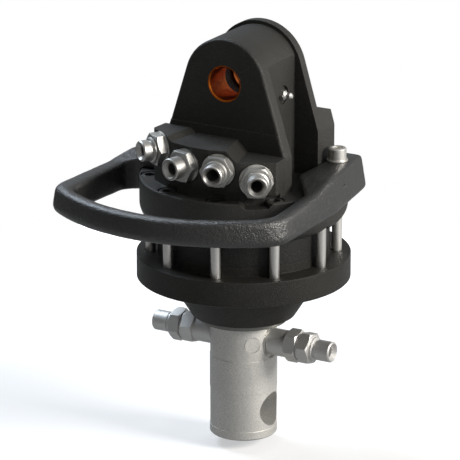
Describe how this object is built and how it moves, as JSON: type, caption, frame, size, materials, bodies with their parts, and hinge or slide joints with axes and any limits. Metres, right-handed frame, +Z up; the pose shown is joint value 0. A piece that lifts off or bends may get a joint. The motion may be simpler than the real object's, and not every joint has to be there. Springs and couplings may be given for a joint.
{
  "type": "hydraulic rotator",
  "caption": "Hydraulic slewing rotator: a vane motor housing with a pin lug, hose ports and a bowed hose guard, and a round shaft that turns without limit below it.",
  "frame": {"origin": "on the slewing axis, at the lower end face of the shaft", "axes": "+Z up the slewing axis towards the lug, +Y along the suspension bore away from the hose ports, +X along the pin hole at the shaft's end"},
  "size_m": [0.259, 0.2886, 0.4243],
  "materials": {
    "housing_paint": "satin black paint over a fine cast skin",
    "guard_paint": "satin black paint over a coarse cast skin",
    "shaft_steel": "fine ground steel, satin",
    "fitting_steel": "turned and plated steel, satin",
    "zinc_plated": "bright zinc plating",
    "screw_steel": "plain steel shank, the head painted over",
    "bush_bronze": "turned bronze, copper red",
    "inner_steel": "ground steel, oiled",
    "seal_rubber": "matt black"
  },
  "bodies": {
    "housing": {"upper_housing": "housing_paint", "pin_bush_front": "bush_bronze", "pin_bush_rear": "bush_bronze", "grease_nipple": "zinc_plated", "port_adapter_1": "fitting_steel", "port_adapter_2": "fitting_steel", "port_adapter_3": "fitting_steel", "port_adapter_4": "fitting_steel", "port_seals": "zinc_plated", "hose_guard": "guard_paint", "guard_screws": "zinc_plated", "guard_washers": "zinc_plated", "housing_screws": "screw_steel", "upper_bush": "bush_bronze", "swivel_seals": "seal_rubber", "stator_ring": "housing_paint", "stator_dowels": "inner_steel", "stator_o_rings": "seal_rubber", "lower_side_plate": "inner_steel", "lower_cover": "housing_paint", "lower_bush": "bush_bronze", "thrust_washer_lower": "bush_bronze", "thrust_washer_upper": "bush_bronze", "gland_ring": "shaft_steel", "wiper_ring": "seal_rubber", "shaft_seal": "seal_rubber"},
    "rotor": {"rotor_shaft": "shaft_steel", "vane_rotor": "inner_steel", "rotor_keys": "inner_steel", "cross_drilling_plug": "shaft_steel", "lower_adapter_left": "fitting_steel", "lower_adapter_right": "fitting_steel", "lower_nipple_left": "fitting_steel", "lower_nipple_right": "fitting_steel", "lower_seals": "zinc_plated"},
    "vane_1": {"vane_1": "inner_steel"},
    "vane_2": {"vane_2": "inner_steel"},
    "vane_3": {"vane_3": "inner_steel"},
    "vane_4": {"vane_4": "inner_steel"},
    "vane_5": {"vane_5": "inner_steel"},
    "vane_6": {"vane_6": "inner_steel"},
    "vane_7": {"vane_7": "inner_steel"},
    "vane_8": {"vane_8": "inner_steel"}
  },
  "joints": [
    {"name": "slewing", "type": "hinge", "parent": "housing", "child": "rotor", "pos_m": [0, 0, 0.2], "axis": [0, 0, 1], "continuous": true},
    {"name": "vane_slide_1", "type": "slide", "parent": "rotor", "child": "vane_1", "axis": [0.9239, 0.3827, 0], "range_m": [-0.0012, 0.0048]},
    {"name": "vane_slide_2", "type": "slide", "parent": "rotor", "child": "vane_2", "axis": [0.3827, 0.9239, 0], "range_m": [-0.0012, 0.001]},
    {"name": "vane_slide_3", "type": "slide", "parent": "rotor", "child": "vane_3", "axis": [-0.3827, 0.9239, 0], "range_m": [-0.0012, 0.001]},
    {"name": "vane_slide_4", "type": "slide", "parent": "rotor", "child": "vane_4", "axis": [-0.9239, 0.3827, 0], "range_m": [-0.0012, 0.0048]},
    {"name": "vane_slide_5", "type": "slide", "parent": "rotor", "child": "vane_5", "axis": [-0.9239, -0.3827, 0], "range_m": [-0.0012, 0.0048]},
    {"name": "vane_slide_6", "type": "slide", "parent": "rotor", "child": "vane_6", "axis": [-0.3827, -0.9239, 0], "range_m": [-0.0012, 0.001]},
    {"name": "vane_slide_7", "type": "slide", "parent": "rotor", "child": "vane_7", "axis": [0.3827, -0.9239, 0], "range_m": [-0.0012, 0.001]},
    {"name": "vane_slide_8", "type": "slide", "parent": "rotor", "child": "vane_8", "axis": [0.9239, -0.3827, 0], "range_m": [-0.0012, 0.0048]}
  ]
}
